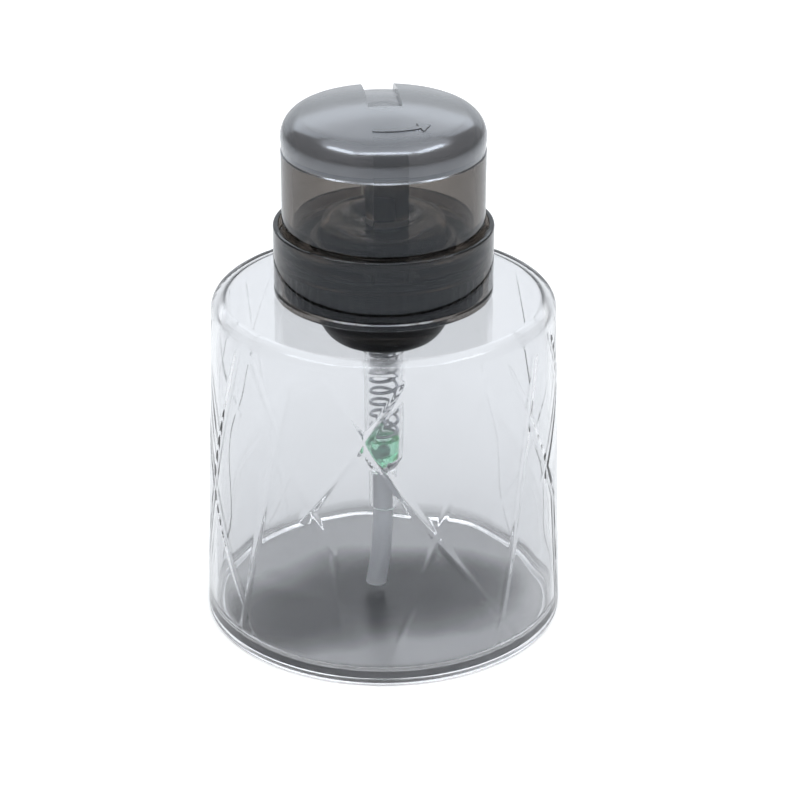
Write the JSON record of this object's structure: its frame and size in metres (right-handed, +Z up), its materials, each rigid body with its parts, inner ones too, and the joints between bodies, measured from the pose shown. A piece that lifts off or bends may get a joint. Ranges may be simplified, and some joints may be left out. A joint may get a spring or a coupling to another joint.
{
  "type": "nail polish remover pump bottle",
  "caption": "Clear round bottle with a press pump under a dish for a cotton pad, and a smoky see-through flip lid that twists to lock.",
  "frame": {"origin": "middle of the foot ring that the bottle stands on", "axes": "+Z up along the bottle and the pump, +Y towards the lid's hinge, -Y towards the latch tongue and the user"},
  "size_m": [0.075, 0.075, 0.1118],
  "materials": {
    "clear_plastic": "clear, polished",
    "smoky_plastic": "smoky see-through, polished",
    "black_plastic": "satin",
    "milky_plastic": "milky, half see-through",
    "green_plastic": "satin",
    "white_plastic": "satin",
    "soft_seal": "soft matte",
    "spring_steel": "bright drawn wire"
  },
  "bodies": {
    "bottle": {"bottle_body": "clear_plastic"},
    "pump_lift": {"neck_gasket": "white_plastic"},
    "insert": {"mounting_cup": "black_plastic", "pump_housing": "milky_plastic", "intake_valve": "green_plastic", "dip_tube": "milky_plastic", "stem_guide": "white_plastic", "return_spring": "spring_steel"},
    "closure": {"screw_closure": "black_plastic", "collar": "smoky_plastic"},
    "swivel": {"swivel_base": "smoky_plastic", "hinge_pin": "smoky_plastic"},
    "lid": {"lid": "smoky_plastic", "lid_seal": "soft_seal"},
    "plunger": {"dish": "smoky_plastic", "stem": "milky_plastic", "piston": "white_plastic"},
    "intake_ball": {"intake_ball": "spring_steel"},
    "outlet_ball": {"outlet_ball": "spring_steel"}
  },
  "joints": [
    {"name": "pump_pull_out", "type": "slide", "parent": "bottle", "child": "pump_lift", "axis": [0, 0, 1], "range_m": [0, 0.088]},
    {"name": "thread_rise", "type": "slide", "parent": "pump_lift", "child": "insert", "axis": [0, 0, 1], "range_m": [0, 0.0045]},
    {"name": "closure_turn", "type": "hinge", "parent": "insert", "child": "closure", "pos_m": [0, 0, 0.0768], "axis": [0, 0, 1], "range_deg": [0, 540]},
    {"name": "lock_twist", "type": "hinge", "parent": "closure", "child": "swivel", "pos_m": [0, 0, 0.0817], "axis": [0, 0, 1], "range_deg": [-48, 0]},
    {"name": "lid_hinge", "type": "hinge", "parent": "swivel", "child": "lid", "pos_m": [0, 0.0179, 0.0902], "axis": [-1, 0, 0], "range_deg": [0, 105]},
    {"name": "pump_press", "type": "slide", "parent": "insert", "child": "plunger", "axis": [0, 0, -1], "range_m": [0, 0.0045], "stiffness_N_per_m": 400, "springref_m": -0.004, "deforming": ["return_spring"]},
    {"name": "intake_ball_lift", "type": "slide", "parent": "insert", "child": "intake_ball", "axis": [0, 0, 1], "range_m": [0, 0.0006]},
    {"name": "outlet_ball_lift", "type": "slide", "parent": "plunger", "child": "outlet_ball", "axis": [0, 0, 1], "range_m": [0, 0.0008]}
  ],
  "couplings": [
    {"joint": "thread_rise", "follows": "closure_turn", "m_per_rad": 0.00047746}
  ]
}
